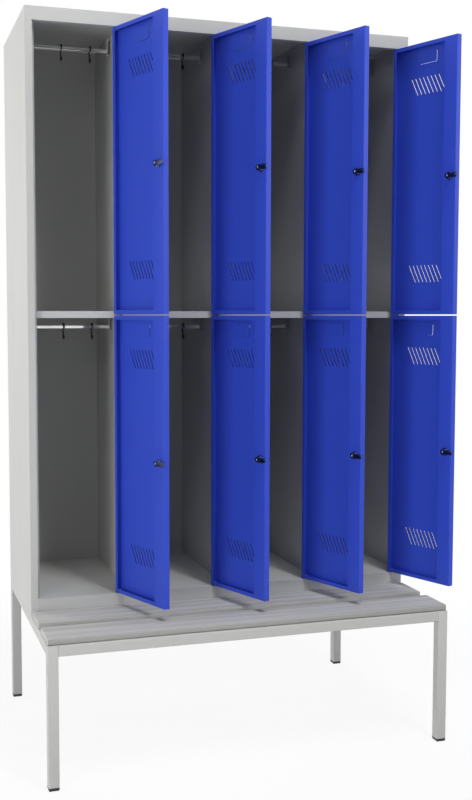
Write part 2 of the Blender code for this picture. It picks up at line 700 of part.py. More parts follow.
def build_hanging_rails():
    """A folded rail with lips below and a bracket on each end, in every compartment."""
    half_depth = RAIL_SECTION_DEPTH / 2
    half_height = RAIL_SECTION_HEIGHT / 2
    section = sheet_outline([
        (half_depth - RAIL_LIP, -half_height), (half_depth, -half_height), (half_depth, half_height),
        (-half_depth, half_height), (-half_depth, -half_height), (RAIL_LIP - half_depth, -half_height),
    ])
    inset = BRACKET_STAND_OFF - OVERLAP
    for row in CEILINGS:
        for column in range(1, COLUMNS + 1):
            name = f"hanging_rail_{row}_{column}"
            left = wall_left(column) + FIT_GAP
            right = wall_right(column) - FIT_GAP
            mesh = outline_mesh(name, [section], right - left - 2 * inset, left + inset, ALONG_X)
            piece = put(name, mesh, "rail_steel", locker, (0.0, RAIL_DEPTH_AT, rail_height(row)))
            for end, wall, facing in (("left", left, 1), ("right", right, -1)):
                bracket = outline_mesh(f"{name}_{end}", [bracket_outline(wall, facing)],
                                       BRACKET_DEPTH, -BRACKET_DEPTH / 2, FACING_FRONT)
                combine(piece, "UNION", bracket)


def build_hooks():
    """Two bent-wire hooks on every rail; they slide along it."""
    curve = bpy.data.curves.new("hook", "CURVE")
    curve.dimensions = "3D"
    curve.bevel_depth = HOOK_WIRE_RADIUS
    curve.bevel_resolution = HOOK_WIRE_ROUNDING
    curve.use_fill_caps = True
    spline = curve.splines.new("POLY")
    spline.points.add(len(HOOK_PATH) - 1)
    for point, (depth, height) in zip(spline.points, HOOK_PATH):
        point.co = (0.0, depth, height, 1.0)
    guide = bpy.data.objects.new("hook", curve)
    guides.objects.link(guide)
    wire = evaluated_mesh(guide)
    bpy.data.objects.remove(guide)
    bpy.data.curves.remove(curve)
    for row in CEILINGS:
        for column in range(1, COLUMNS + 1):
            for side, along in HOOK_PLACES.items():
                place = ((column - 1) * COLUMN_PITCH + along, RAIL_DEPTH_AT, rail_height(row))
                name = f"hook_{row}_{column}_{side}"
                put(name, wire, "black_plastic", locker, place, smooth=True)


def screw_places(centre):
    """Plan positions of one slat's screws: at the side tubes and at the middle bearer."""
    return [
        (across, centre + side * SLAT_SCREW_SPREAD)
        for across in (TUBE / 2, WIDTH / 2, WIDTH - TUBE / 2) for side in (-1, 1)
    ]


def frame_plan(inset):
    """Outer edge and bays of the frame seen from above, both moved into the tubes by an inset."""
    low_x, high_x = TUBE - inset, WIDTH - TUBE + inset
    bearer_left = WIDTH / 2 - TUBE / 2 + inset
    bearer_right = WIDTH / 2 + TUBE / 2 - inset
    front_low, front_high = TUBE - BENCH_REACH - inset, inset
    back_low, back_high = TUBE - inset, CABINET_DEPTH - TUBE + inset
    middle_y = (CABINET_DEPTH - BENCH_REACH) / 2
    length = CABINET_DEPTH + BENCH_REACH
    corner = TUBE_WALL - inset / 2
    outer_edge = rounded_outline((WIDTH / 2, middle_y), WIDTH - 2 * inset, length - 2 * inset,
                                 corner, TUBE_CORNER_STEPS)
    bays = (
        (low_x, high_x, back_low, back_high),
        (low_x, bearer_left, front_low, front_high),
        (bearer_right, high_x, front_low, front_high),
    )
    plan = [outer_edge]
    for left, right, front, back in bays:
        plan.append([(left, front), (right, front), (right, back), (left, back)])
    return plan


def build_bench_frame():
    """Welded frame of square tube: a ring with two cross members and four legs, all hollow."""
    half = TUBE / 2
    bore = TUBE - 2 * LEG_WALL
    legs = []
    leg_bores = bmesh.new()
    for across in (half, WIDTH - half):
        for depth in (half - BENCH_REACH, CABINET_DEPTH - half):
            section = rounded_outline((across, depth), TUBE, TUBE, TUBE_WALL, TUBE_CORNER_STEPS)
            legs.append(section)
            add_box(leg_bores, (across - bore / 2, depth - bore / 2, 0.0),
                    (across + bore / 2, depth + bore / 2, FRAME_HEIGHT - half))
    ring = outline_mesh("bench_frame", frame_plan(0.0), TUBE, FRAME_HEIGHT - TUBE)
    leg_length = FRAME_HEIGHT - half - FOOT_HEIGHT
    channel = outline_mesh("channel", frame_plan(TUBE_WALL), TUBE - 2 * TUBE_WALL,
                           FRAME_HEIGHT - TUBE + TUBE_WALL)
    holes = bmesh.new()
    for centre in SLAT_CENTRES.values():
        for place in screw_places(centre):
            add_rod(holes, place, SCREW_HOLE_RADIUS, FRAME_HEIGHT - TUBE - PAST,
                    FRAME_HEIGHT + PAST, SMALL_ROUND_STEPS)
    piece = put("bench_frame", ring, "paint_grey", locker)
    combine(piece, "UNION", outline_mesh("legs", legs, leg_length, FOOT_HEIGHT), "MANIFOLD")
    combine(piece, "DIFFERENCE", finished_mesh(leg_bores, "leg_bores"))
    combine(piece, "DIFFERENCE", channel, "MANIFOLD")
    combine(piece, "DIFFERENCE", finished_mesh(holes, "frame_holes"))


def build_slats():
    """Two wooden slats with rounded edges, each with the screws that hold it to the frame."""
    underside = FRAME_HEIGHT - TUBE - FIT_GAP
    screw_top = SLAT_BOTTOM + SCREW_IN_WOOD
    for row, centre in SLAT_CENTRES.items():
        mesh = boxes_mesh("slat_" + row, [(
            (SLAT_SET_IN, centre - SLAT_WIDTH / 2, SLAT_BOTTOM),
            (WIDTH - SLAT_SET_IN, centre + SLAT_WIDTH / 2, SLAT_BOTTOM + SLAT_THICKNESS),
        )])
        piece = put("bench_slat_" + row, mesh, "slat_wood", locker, smooth=True)
        rounding = piece.modifiers.new("rounded edges", "BEVEL")
        rounding.width = SLAT_ROUNDING
        rounding.segments = SLAT_ROUNDING_STEPS
        screws = bmesh.new()
        heads = bmesh.new()
        for place in screw_places(centre):
            add_rod(screws, place, SCREW_RADIUS, underside - OVERLAP, screw_top, SMALL_ROUND_STEPS)
            add_rod(heads, place, SCREW_HEAD_RADIUS, underside - SCREW_HEAD_HEIGHT, underside,
                    SMALL_ROUND_STEPS)
        combine(piece, "UNION", finished_mesh(screws, f"slat_{row}_screws"))
        combine(piece, "UNION", finished_mesh(heads, f"slat_{row}_heads"))


def build_feet():
    """Chamfered plugs under the legs, each with a spigot in its tube."""
    half = TUBE / 2
    spigot = half - LEG_WALL - FIT_GAP
    foot_top = FOOT_HEIGHT - FIT_GAP
    sides = [
        (spigot, foot_top + FOOT_SPIGOT), (spigot, foot_top), (half, foot_top),
        (half, FOOT_CHAMFER), (half - FOOT_CHAMFER, 0.0),
    ]
    corners = [(from_middle * CORNER_TO_SIDE, height) for from_middle, height in sides]
    profile = [(0.0, foot_top + FOOT_SPIGOT), *corners, (0.0, 0.0)]
    foot = turned_mesh("foot", profile, FOOT_SIDES)
    square_on = (0.0, 0.0, pi / FOOT_SIDES)
    for side, across in (("left", half), ("right", WIDTH - half)):
        for end, depth in (("front", half - BENCH_REACH), ("back", CABINET_DEPTH - half)):
            place = (across, depth, 0.0)
            put(f"foot_{end}_{side}", foot, "black_plastic", locker, place, square_on)


clear_scene()
parts = bpy.data.collections.new("locker_with_bench")
guides = bpy.data.collections.new("guides")
for collection in (parts, guides):
    bpy.context.scene.collection.children.link(collection)
materials = {name: make_material(name) for name in FINISHES}

# The row's origin is on the floor, under the middle of the box that holds the open doors too
open_reach = -LEAF_FREE_EDGE * -cos(DOOR_OPEN) + PIN_FROM_FACE * sin(DOOR_OPEN)
right_end = pin_x(COLUMNS) + open_reach
locker = bpy.data.objects.new("locker", None)
parts.objects.link(locker)
locker.location = (-right_end / 2, -(CABINET_DEPTH - BENCH_REACH) / 2, 0.0)

build_side_panel("side_panel_left", False)
build_side_panel("side_panel_right", True)
for partition in range(1, COLUMNS):
    build_partition(partition)
put("back_panel", boxes_mesh("back_panel", [(
    (SHEET + FIT_GAP, CABINET_DEPTH - SHEET, CABINET_BOTTOM),
    (WIDTH - SHEET - FIT_GAP, CABINET_DEPTH, TOP - SHEET - FIT_GAP),
)]), "paint_grey", locker)
build_top_panel()
build_floor_pan()
for shelf in range(1, COLUMNS + 1):
    build_shelf(shelf)
build_doors()
build_hanging_rails()
build_hooks()
build_bench_frame()
build_slats()
build_feet()
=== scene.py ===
# %% [markdown]
# # A locker with a bench, dressed for its picture
#
# The real object stands in a changing room: four columns of two compartments folded from thin steel
# sheet, eight blue doors that hang open, and a square tube frame whose front part carries a slatted
# seat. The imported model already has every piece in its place. This lesson keeps the plain folded
# sheets of that model, builds finer doors, locks, rails, hooks, slats, tubes and feet around it, and
# gives every surface its finish.
#
# We start by loading the model. It is the fixed frame: nothing in it is moved.

from math import cos, pi, radians, sin

import bmesh
import bpy
from bmesh.types import BMFace, BMVert
from mathutils import Matrix, Vector


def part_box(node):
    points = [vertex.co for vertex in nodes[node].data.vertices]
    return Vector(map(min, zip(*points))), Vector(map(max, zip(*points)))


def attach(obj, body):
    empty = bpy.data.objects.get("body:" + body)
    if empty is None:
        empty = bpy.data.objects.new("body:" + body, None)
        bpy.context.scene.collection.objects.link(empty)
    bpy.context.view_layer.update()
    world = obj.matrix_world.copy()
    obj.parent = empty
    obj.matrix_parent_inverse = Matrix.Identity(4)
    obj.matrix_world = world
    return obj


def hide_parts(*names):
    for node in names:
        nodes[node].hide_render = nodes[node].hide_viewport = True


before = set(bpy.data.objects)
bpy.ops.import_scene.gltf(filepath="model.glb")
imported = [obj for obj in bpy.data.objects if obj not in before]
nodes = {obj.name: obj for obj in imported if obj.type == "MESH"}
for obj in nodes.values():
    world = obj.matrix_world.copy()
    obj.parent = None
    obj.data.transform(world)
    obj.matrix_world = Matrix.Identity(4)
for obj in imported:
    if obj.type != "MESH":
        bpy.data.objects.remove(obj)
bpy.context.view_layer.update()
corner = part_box("side_panel_left")[0]
locker_corner = Vector((corner.x, corner.y, 0.0))
print("nodes:", len(nodes))
print("the locker's own corner stands at", tuple(round(v, 4) for v in locker_corner))

# %% [markdown]
# ## Sizes that the dressing repeats
#
# A maker works from one list of sizes. The ones below repeat the model's own, in metres, for the
# pieces that get a finer shape here. Places are given in the locker's own frame: X to the right from
# its left side, Y to the back from its front plane, Z up from the floor.

# %% Sizes of the doors, locks, rails and bench
COLUMNS = 4
COLUMN_PITCH = 0.300
CABINET_DEPTH = 0.490
LOCKER_WIDTH = COLUMNS * COLUMN_PITCH
BENCH_REACH = 0.300
FRAME_TOP = 0.400
SHEET, FIT_GAP = 0.001, 0.0003
ROWS = {"upper": 1.285, "lower": 0.454}
CEILINGS = {"upper": 2.152, "lower": 1.2933}
COMPARTMENTS = [(row, column) for row in ROWS for column in range(1, COLUMNS + 1)]

LEAF_WIDTH, LEAF_DEPTH, LEAF_HEIGHT = 0.252, 0.019, 0.827
PIN_FROM_EDGE, PIN_FROM_FACE, PIN_FROM_COLUMN = 0.007, 0.0055, 0.031
DOOR_OPEN = radians(110.5)
print("the locker is", LOCKER_WIDTH, "m wide and each door leaf is", LEAF_HEIGHT, "m tall")

# %% [markdown]
# ## The camera
#
# The picture was taken from the left of the locker, a little above its middle, with the lens tipped
# down by four degrees. The lens is a long one, so the uprights stay nearly parallel. A small shift
# puts the middle of the lens left of the middle of the picture, as in the photograph's own crop.

# %% Put the camera where the picture was taken
PICTURE_HEIGHT = 800
FOCAL_PIXELS = 1076.4
camera_data = bpy.data.cameras.new("camera")
camera = bpy.data.objects.new("camera", camera_data)
bpy.context.scene.collection.objects.link(camera)
camera.location = (-1.0594, -3.2042, 1.2806)
camera.rotation_euler = (radians(90.0 - 4.197), 0.0, radians(-17.076))
camera_data.sensor_width = 36.0
camera_data.lens = FOCAL_PIXELS * camera_data.sensor_width / PICTURE_HEIGHT
camera_data.shift_x = 0.0415
camera_data.shift_y = -0.0065
camera_data.clip_end = 60.0
bpy.context.scene.camera = camera
bpy.context.scene.view_settings.view_transform = "Standard"
print("lens", round(camera_data.lens, 2), "mm")

# %% [markdown]
# ## Shader maths that reads like maths
#
# A finish is a small network of nodes. To keep it readable, a socket is wrapped in a class that
# knows plus, minus and times, so `0.4 + 0.1 * grain` adds the two Math nodes by itself. Every other
# node comes from one method that takes its type, its settings and what goes into its sockets.

# %% A wire that adds Math nodes, and a finish that adds any node
class Wire:
    """One output of a node, with the plain operators of arithmetic."""

    def __init__(self, finish, socket):
        self.finish = finish
        self.socket = socket

    def maths(self, operation, *values):
        return self.finish.node("ShaderNodeMath", {"operation": operation}, dict(enumerate(values)))

    def __add__(self, other):
        return self.maths("ADD", self, other)

    def __radd__(self, other):
        return self.maths("ADD", other, self)

    def __sub__(self, other):
        return self.maths("SUBTRACT", self, other)

    def __rsub__(self, other):
        return self.maths("SUBTRACT", other, self)

    def __mul__(self, other):
        return self.maths("MULTIPLY", self, other)

    def __rmul__(self, other):
        return self.maths("MULTIPLY", other, self)


class Finish:
    """A material in the making."""

    def __init__(self, name, owner=None):
        self.owner = owner or bpy.data.materials.new(name)
        self.owner.use_nodes = True
        self.tree = self.owner.node_tree
        self.shader = self.tree.nodes.get("Principled BSDF")

    def plug(self, socket, value):
        if isinstance(value, Wire):
            self.tree.links.new(value.socket, socket)
        else:
            socket.default_value = value

    def node(self, kind, settings=None, sockets=None, output=0):
        made = self.tree.nodes.new(kind)
        for setting, value in (settings or {}).items():
            setattr(made, setting, value)
        for socket, value in (sockets or {}).items():
            self.plug(made.inputs[socket], value)
        return Wire(self, made.outputs[output])

    def place(self):
        return self.node("ShaderNodeTexCoord", output="Object")

    def noise(self, place, scale, detail, roughness=0.5):
        return self.node("ShaderNodeTexNoise", None, {
            "Vector": place, "Scale": scale, "Detail": detail, "Roughness": roughness}, "Fac")

    def stretch(self, place, scale):
        return self.node("ShaderNodeVectorMath", {"operation": "MULTIPLY"}, {0: place, 1: scale})

    def mask(self, value, low, high):
        """Nought where the value is under low, one where it is over high, smooth between."""
        return self.node("ShaderNodeMapRange", {"interpolation_type": "SMOOTHSTEP"}, {
            "Value": value, "From Min": low, "From Max": high})

    def mix(self, factor, first, second):
        """Mix two colours; they are threes of numbers or wires."""
        colours = [c if isinstance(c, Wire) else (*c, 1.0) for c in (first, second)]
        return self.node("ShaderNodeMix", {"data_type": "RGBA"}, {
            0: factor, 6: colours[0], 7: colours[1]}, 2)

    def bump(self, height, distance, under=None):
        sockets = {"Height": height, "Distance": distance}
        if under is not None:
            sockets["Normal"] = under
        return self.node("ShaderNodeBump", None, sockets)

    def surface(self, **sockets):
        """Set the shader's own sockets, named with underscores for spaces."""
        for name, value in sockets.items():
            socket = self.shader.inputs[name.replace("_", " ").title().replace("Ior", "IOR")]
            self.plug(socket, (*value, 1.0) if isinstance(value, tuple) else value)
        return self.owner


print("one class for wires and one for finishes are ready")

# %% [markdown]
# ## Powder coat
#
# The sheets, the tubes and the doors are powder coated: the paint is sprayed on as dust and melts in
# an oven. It dries to a satin film with fine dimples, called orange peel, about two millimetres
# across. The film is a little thinner on the folds, where it wears first, and hands and cleaning
# cloths leave broad patches that shine slightly more or less. Noise at several scales makes the
# dimples and patches, and a Bevel node tells the finish where the edges are. The walls of the doors'
# slots and of the card field's slit get a nearly black blue coat of their own. That is painted
# shade, the dark of the shadow inside these narrow cuts.

# %% The two colours of powder coat, and a nearly black blue that paints the shade in the slots
PEEL_SCALE, PEEL_HEIGHT = 430.0, 0.00003
DUST_SCALE, DUST_HEIGHT = 2100.0, 0.000006
EDGE_REACH = 0.0016


def powder_coat(name, colour, thin_colour, satin, shine):
    coat = Finish(name)
    place = coat.place()
    patches = coat.noise(place, 2.3, 3.0)
    smears = coat.noise(coat.stretch(place, (9.0, 9.0, 1.6)), 1.0, 4.0, 0.6)
    peel = coat.noise(place, PEEL_SCALE, 2.0)
    dust = coat.noise(place, DUST_SCALE, 1.0)
    plain = coat.node("ShaderNodeNewGeometry", output="Normal")
    rounded = coat.node("ShaderNodeBevel", {"samples": 4}, {"Radius": EDGE_REACH})
    along = coat.node(
        "ShaderNodeVectorMath", {"operation": "DOT_PRODUCT"}, {0: plain, 1: rounded}, "Value")
    edge = coat.mask(1 - along, 0.02, 0.25)
    worn = edge * coat.mask(coat.noise(place, 34.0, 3.0, 0.7), 0.52, 0.66)
    darker = tuple(0.955 * c for c in colour)
    paler = tuple(min(1.0, 1.12 * c) for c in colour)
    tinted = coat.mix(coat.mask(patches, 0.3, 0.75) * 0.55, colour, darker)
    speckled = coat.mix(coat.mask(dust, 0.60, 0.72) * 0.30, tinted, paler)
    return coat.surface(
        base_color=coat.mix(edge * 0.25 + worn * 0.45, speckled, thin_colour),
        roughness=satin + 0.10 * smears + 0.05 * patches - 0.08 * worn,
        specular_ior_level=shine,
        normal=coat.bump(peel, PEEL_HEIGHT, coat.bump(dust, DUST_HEIGHT)),
    )


paint_grey = powder_coat("paint_grey", (0.510, 0.514, 0.500), (0.56, 0.56, 0.55), 0.36, 0.25)
paint_blue = powder_coat("paint_blue", (0.034, 0.074, 0.560), (0.065, 0.12, 0.70), 0.34, 0.2)
# painted shade: a nearly black blue for the walls of the slots and the slit, which lie in shadow
painted_slot_shade = powder_coat("painted_slot_shade", (0.004, 0.008, 0.040), (0.010, 0.014, 0.050), 0.50, 0.1)
print("powder coats:", paint_grey.name, paint_blue.name, painted_slot_shade.name)

# %% [markdown]
# ## Wood, plastic and metal
#
# The slats are wood under a thin grey stain, so the grain runs along them as long streaks with fine
# open pores. Their faces that look to the front, rounded front edges included, are painted darker:
# that is painted shade, not stain. The feet are moulded plastic with a fine spark-eroded grain. The
# hooks are bent wire dipped in black. The rails are bright steel with the faint lines of rolling
# along them, and the locks are plated metal.

# %% Stained wood for the slats
PALE_STAIN, DEEP_STAIN = (0.525, 0.520, 0.500), (0.375, 0.371, 0.357)
# the last colour is painted shade: faces that look to the front, the rounded front edges too, are
# darker
PORE_STAIN, PAINTED_FRONT_SHADE = (0.25, 0.248, 0.24), (0.300, 0.298, 0.289)


def stained_wood(name):
    wood = Finish(name)
    place = wood.place()
    bend = wood.noise(wood.stretch(place, (1.3, 5.0, 5.0)), 1.0, 2.0)
    streaks = wood.noise(wood.stretch(place, (1.1, 46.0, 46.0)), 1.0, 4.0, 0.62)
    bands = wood.noise(wood.stretch(place, (0.55, 15.0, 15.0)), 1.0, 2.0)
    fibres = wood.noise(wood.stretch(place, (16.0, 620.0, 620.0)), 1.0, 2.0)
    pores = wood.mask(wood.noise(wood.stretch(place, (26.0, 900.0, 900.0)), 1.0, 1.0), 0.62, 0.72)
    dark = wood.mask(streaks + 0.35 * bands + 0.1 * bend, 0.55, 0.95)
    stain = wood.mix(dark, PALE_STAIN, DEEP_STAIN)
    pored = wood.mix(pores * 0.35, stain, PORE_STAIN)
    facing = wood.node("ShaderNodeSeparateXYZ", None, {
        0: wood.node("ShaderNodeNewGeometry", output="Normal")}, "Y")
    return wood.surface(
        # faces looking to the front get the painted shade
        base_color=wood.mix(wood.mask(0.0 - facing, 0.15, 0.60) * 0.85, pored, PAINTED_FRONT_SHADE),
        roughness=0.50 + 0.22 * streaks + 0.1 * pores,
        normal=wood.bump(fibres - 0.8 * pores, 0.00009, wood.bump(streaks, 0.0006)),
    )


slat_wood = stained_wood("slat_wood")
print("wood:", slat_wood.name)

# %% Black plastic and coated wire
def moulded_black(name, colour, gloss, grain_scale, grain_height):
    plastic = Finish(name)
    place = plastic.place()
    grain = plastic.noise(place, grain_scale, 2.0)
    scuffs = plastic.mask(plastic.noise(place, 60.0, 4.0, 0.7), 0.56, 0.70)
    return plastic.surface(
        base_color=plastic.mix(scuffs * 0.5, colour, tuple(2.6 * c for c in colour)),
        roughness=gloss + 0.18 * grain + 0.10 * scuffs,
        normal=plastic.bump(grain, grain_height),
    )


black_plastic = moulded_black("black_plastic", (0.010, 0.010, 0.011), 0.38, 900.0, 0.00004)
hook_wire = moulded_black("hook_wire", (0.008, 0.008, 0.009), 0.22, 300.0, 0.00003)
print("blacks:", black_plastic.name, "and", hook_wire.name)

# %% Rolled steel and plated metal
def bright_metal(name, colour, smooth, lines, line_scale, metallic):
    metal = Finish(name)
    place = metal.place()
    drawn = metal.noise(metal.stretch(place, lines), line_scale, 3.0, 0.6)
    tarnish = metal.mask(metal.noise(place, 38.0, 4.0, 0.65), 0.50, 0.72)
    return metal.surface(
        base_color=metal.mix(tarnish * 0.35, colour, tuple(0.72 * c for c in colour)),
        metallic=metallic,
        roughness=smooth + 0.06 * drawn + 0.12 * tarnish,
        normal=metal.bump(drawn, 0.000008),
    )


rail_steel = bright_metal("rail_steel", (0.90, 0.90, 0.89), 0.04, (3.0, 900.0, 900.0), 1.0, 0.70)
lock_metal = bright_metal("lock_metal", (0.13, 0.17, 0.36), 0.12, (1.0, 1.0, 1.0), 700.0, 1.0)
cam_steel = bright_metal("cam_steel", (0.045, 0.06, 0.14), 0.24, (1.0, 1.0, 1.0), 500.0, 1.0)
print("metals:", rail_steel.name, lock_metal.name, cam_steel.name)

# %% [markdown]
# ## The folded sheets
#
# The side panels, partitions, shelves, back, top and floor keep the model's own shape: each is one
# sheet of steel, bent in a press. A press never leaves a razor edge, so two modifiers round the
# folds a little: Weld joins the faces that the file stores apart, and Bevel rounds what is sharper
# than forty degrees. Modifiers leave the model's mesh as it is, so the pieces stay where they are.

# %% Give the sheets their paint and soft folds
WELD_REACH, SHEET_FOLD = 0.00001, 0.0003
SHEET_NODES = [
    name for name in nodes
    if name.startswith(("side_panel", "partition", "shelf", "back_panel", "top_panel", "floor_pan"))
]
for name in SHEET_NODES:
    sheet = nodes[name]
    sheet.data.materials.clear()
    sheet.data.materials.append(paint_grey)
    weld = sheet.modifiers.new("join the faces", "WELD")
    weld.merge_threshold = WELD_REACH
    fold = sheet.modifiers.new("soft folds", "BEVEL")
    fold.width = SHEET_FOLD
    fold.segments = 2
    fold.limit_method = "ANGLE"
    fold.angle_limit = radians(40)
    fold.harden_normals = True
print("sheets:", len(SHEET_NODES))

# %% [markdown]
# ## Tools of the bench
#
# The finer pieces need a few helpers. The first ones shade a finished shape, hand it to a body of
# the model, so that it moves with it, and cut one shape out of another. The others round the corners
# of a path, as a bender does with wire and strip, draw the outline of a slot, turn a profile on a
# lathe and saw a rounded block.

# %% Helpers that finish and place a piece
SMOOTH_UP_TO = radians(35.0)
HAIR = SHEET / 10


def plain_mesh(shape, name):
    """Turn a bmesh into a mesh as it is."""
    mesh = bpy.data.meshes.new(name)
    shape.to_mesh(mesh)
    shape.free()
    return mesh


def finished(shape, name):
    """Turn a bmesh into a mesh whose faces look outwards."""
    bmesh.ops.recalc_face_normals(shape, faces=shape.faces)
    return plain_mesh(shape, name)


def settle(mesh, *modifiers):
    """Apply modifiers to a mesh; each is its type and its settings."""
    holder = bpy.data.objects.new("holder", mesh)
    bpy.context.scene.collection.objects.link(holder)
    for kind, settings in modifiers:
        step = holder.modifiers.new(kind.lower(), kind)
        for setting, value in settings.items():
            setattr(step, setting, value)
    graph = bpy.context.evaluated_depsgraph_get()
    made = bpy.data.meshes.new_from_object(holder.evaluated_get(graph))
    bpy.data.objects.remove(holder)
    return made


def shade(mesh, *finishes):
    """Give a mesh its finishes and shade it smooth up to the angle of a real edge."""
    for finish in finishes:
        mesh.materials.append(finish)
    mesh.shade_smooth()
    mesh.set_sharp_from_angle(angle=SMOOTH_UP_TO)


def fit(name, mesh, finish, body, place=None):
    """Stand a mesh in its place on the locker, give it its finish and let it ride on its body."""
    piece = bpy.data.objects.new(name, mesh)
    bpy.context.scene.collection.objects.link(piece)
    if not mesh.materials:
        shade(mesh, finish)
    piece.matrix_world = Matrix.Translation(locker_corner) @ (place or Matrix.Identity(4))
    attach(piece, body)
    return piece


def cut(mesh, cutter):
    """Cut one mesh out of another."""
    tool = bpy.data.objects.new("cutter", cutter)
    bpy.context.scene.collection.objects.link(tool)
    made = settle(mesh, ("BOOLEAN", {"operation": "DIFFERENCE", "solver": "EXACT", "object": tool}))
    bpy.data.objects.remove(tool)
    return made


print("helpers for finishing, placing and cutting are ready")

# %% Helpers that round, turn and saw
LONGEST_ARC, ARC_STEPS, SLOT_END_STEPS = 0.45, 4, 5


def rounded_path(points, radius):
    """Replace the corners of an open path by arcs; the ends stay."""
    points = [Vector(point) for point in points]
    path = [points[0]]
    for before, here, after in zip(points, points[1:], points[2:]):
        reach = min(radius, *(LONGEST_ARC * leg.length for leg in (here - before, after - here)))
        start = here + (before - here).normalized() * reach
        end = here + (after - here).normalized() * reach
        for step in range(ARC_STEPS + 1):
            share = step / ARC_STEPS
            path.append(start.lerp(here, share).lerp(here.lerp(end, share), share))
    return path + [points[-1]]


def capsule(middle, lean, height, width, margin):
    """Outline of a leaning slot with round ends, wider by a margin on every side."""
    along = Vector((lean, height)).normalized()
    across = Vector((-along.y, along.x))
    half_run = Vector((lean, height)) / 2 - along * width / 2
    outline = []
    for end in (1, -1):
        for step in range(SLOT_END_STEPS + 1):
            turn = pi * step / SLOT_END_STEPS
            reach = -across * cos(turn) * end + along * sin(turn) * end
            outline.append(Vector(middle) + half_run * end + reach * (width / 2 + margin))
    return outline


def turned(name, profile, steps, closed=False):
    """Turn a profile of (radius, height) points round the Z axis."""
    shape = bmesh.new()
    rings = []
    for radius, height in profile:
        if radius == 0:
            rings.append([shape.verts.new((0.0, 0.0, height))] * steps)
            continue
        turns = [2 * pi * step / steps for step in range(steps)]
        rings.append([shape.verts.new((radius * cos(a), radius * sin(a), height)) for a in turns])
    pairs = list(zip(rings, rings[1:])) + ([(rings[-1], rings[0])] if closed else [])
    for lower, upper in pairs:
        for step in range(steps):
            following = (step + 1) % steps
            ring = [lower[step], lower[following], upper[following], upper[step]]
            corners = list(dict.fromkeys(ring))
            if len(corners) > 2:
                shape.faces.new(corners)
    return finished(shape, name)


def round_off(shape, edges, radius, steps):
    """Round some edges of a shape."""
    bmesh.ops.bevel(shape, geom=edges, offset=radius, segments=steps, profile=0.5, affect="EDGES")


def sawn_block(name, low, high, radius, steps, end_radius=None, along=0):
    """Block between two corners: its edges along one axis get one rounding, its ends another."""
    low, high = Vector(low), Vector(high)
    shape = bmesh.new()
    place = Matrix.Translation((low + high) / 2) @ Matrix.Diagonal((*(high - low), 1.0))
    bmesh.ops.create_cube(shape, size=1.0, matrix=place)
    across = [axis for axis in range(3) if axis != along]

    def runs_along(edge):
        a, b = (vert.co for vert in edge.verts)
        return all(abs(a[axis] - b[axis]) < HAIR for axis in across)

    round_off(shape, [edge for edge in shape.edges if runs_along(edge)], radius, steps)
    if end_radius:
        ends = (min(v.co[along] for v in shape.verts), max(v.co[along] for v in shape.verts))
        end_edges = [
            edge for edge in shape.edges
            if all(min(abs(v.co[along] - end) for end in ends) < HAIR for v in edge.verts)
        ]
        round_off(shape, end_edges, end_radius, 2)
    return finished(shape, name)


print("helpers for paths, slots, turned pieces and sawn blocks are ready")

# %% [markdown]
# ## The door leaf
#
# A real leaf starts as a flat blank. The press punches two groups of eight leaning slots through it,
# draws their edges outwards into low rims and stamps a shallow field for a name card, slit open on
# two sides. Then its four sides are folded to the back and their ends inwards again, which leaves a
# stiff pan with a lip all round; the lip on the lock side is a wide flange. The mesh follows that
# order: outlines for what is punched, one fill for the blank, rings for the rims and the two folds,
# and Solidify for the thickness of the steel. A last small bevel breaks the cut edges. The walls of
# the slots and of the slit get painted shade: a nearly black blue coat that stands for their shadow.

# %% Outlines that the press punches and stamps
SLOT_COUNT, SLOT_PITCH, SLOT_FROM_END = 8, 0.0153, 0.126
SLOT_LEAN, SLOT_TALL, SLOT_WIDE, SLOT_RIM = 0.027, 0.054, 0.0029, 0.0018
FIELD_WIDE, FIELD_TALL, FIELD_CORNER, FIELD_DEEP = 0.070, 0.038, 0.006, 0.0013
FIELD_FROM_HINGE_EDGE, FIELD_BOTTOM_FROM_TOP = 0.125, 0.060
FIELD_MIDDLE = Vector((
    PIN_FROM_EDGE - FIELD_FROM_HINGE_EDGE, LEAF_HEIGHT - FIELD_BOTTOM_FROM_TOP + FIELD_TALL / 2))
# the wall round the field leans by this much, and these steps of it are left open as the slit
FIELD_WALL, CORNER_STEPS = 0.0002, 5
FIELD_SLIT = range(2 * CORNER_STEPS + 1, 3 * (CORNER_STEPS + 1))
LEAF_MIDDLE = PIN_FROM_EDGE - LEAF_WIDTH / 2

slot_middles = [
    (LEAF_MIDDLE + (slot - (SLOT_COUNT - 1) / 2) * SLOT_PITCH, group)
    for group in (SLOT_FROM_END, LEAF_HEIGHT - SLOT_FROM_END) for slot in range(SLOT_COUNT)
]
slot_outlines = [
    capsule(middle, SLOT_LEAN, SLOT_TALL, SLOT_WIDE, margin=SHEET) for middle in slot_middles
]


def field_outline(inset):
    """Rounded rectangle of the name card field, smaller by an inset."""
    outline = []
    corner_size = FIELD_CORNER - inset / 2
    for quarter in range(4):
        side = Vector((1 if quarter in (0, 3) else -1, 1 if quarter in (0, 1) else -1))
        half = Vector((FIELD_WIDE / 2 - inset - corner_size, FIELD_TALL / 2 - inset - corner_size))
        middle = FIELD_MIDDLE + Vector((side.x * half.x, side.y * half.y))
        for step in range(CORNER_STEPS + 1):
            turn = (quarter + step / CORNER_STEPS) * pi / 2
            outline.append(middle + Vector((cos(turn), sin(turn))) * corner_size)
    return outline


print("slots:", len(slot_outlines), "- corners round the card field:", len(field_outline(0.0)))

# %% Fold the pan
FOLD_RADIUS, FOLD_STEPS = 0.0016, 4
SUPPORT, BROKEN_EDGE = 0.0004, 0.0002
LIP, FREE_LIP = 0.012, 0.048
OUTER_FACE = -PIN_FROM_FACE
INNER_FACE = LEAF_DEPTH - PIN_FROM_FACE
# how far a face's normal has to point out of the leaf to be flat, and may point to be a wall
FLAT, STEEP = 0.9, 0.4


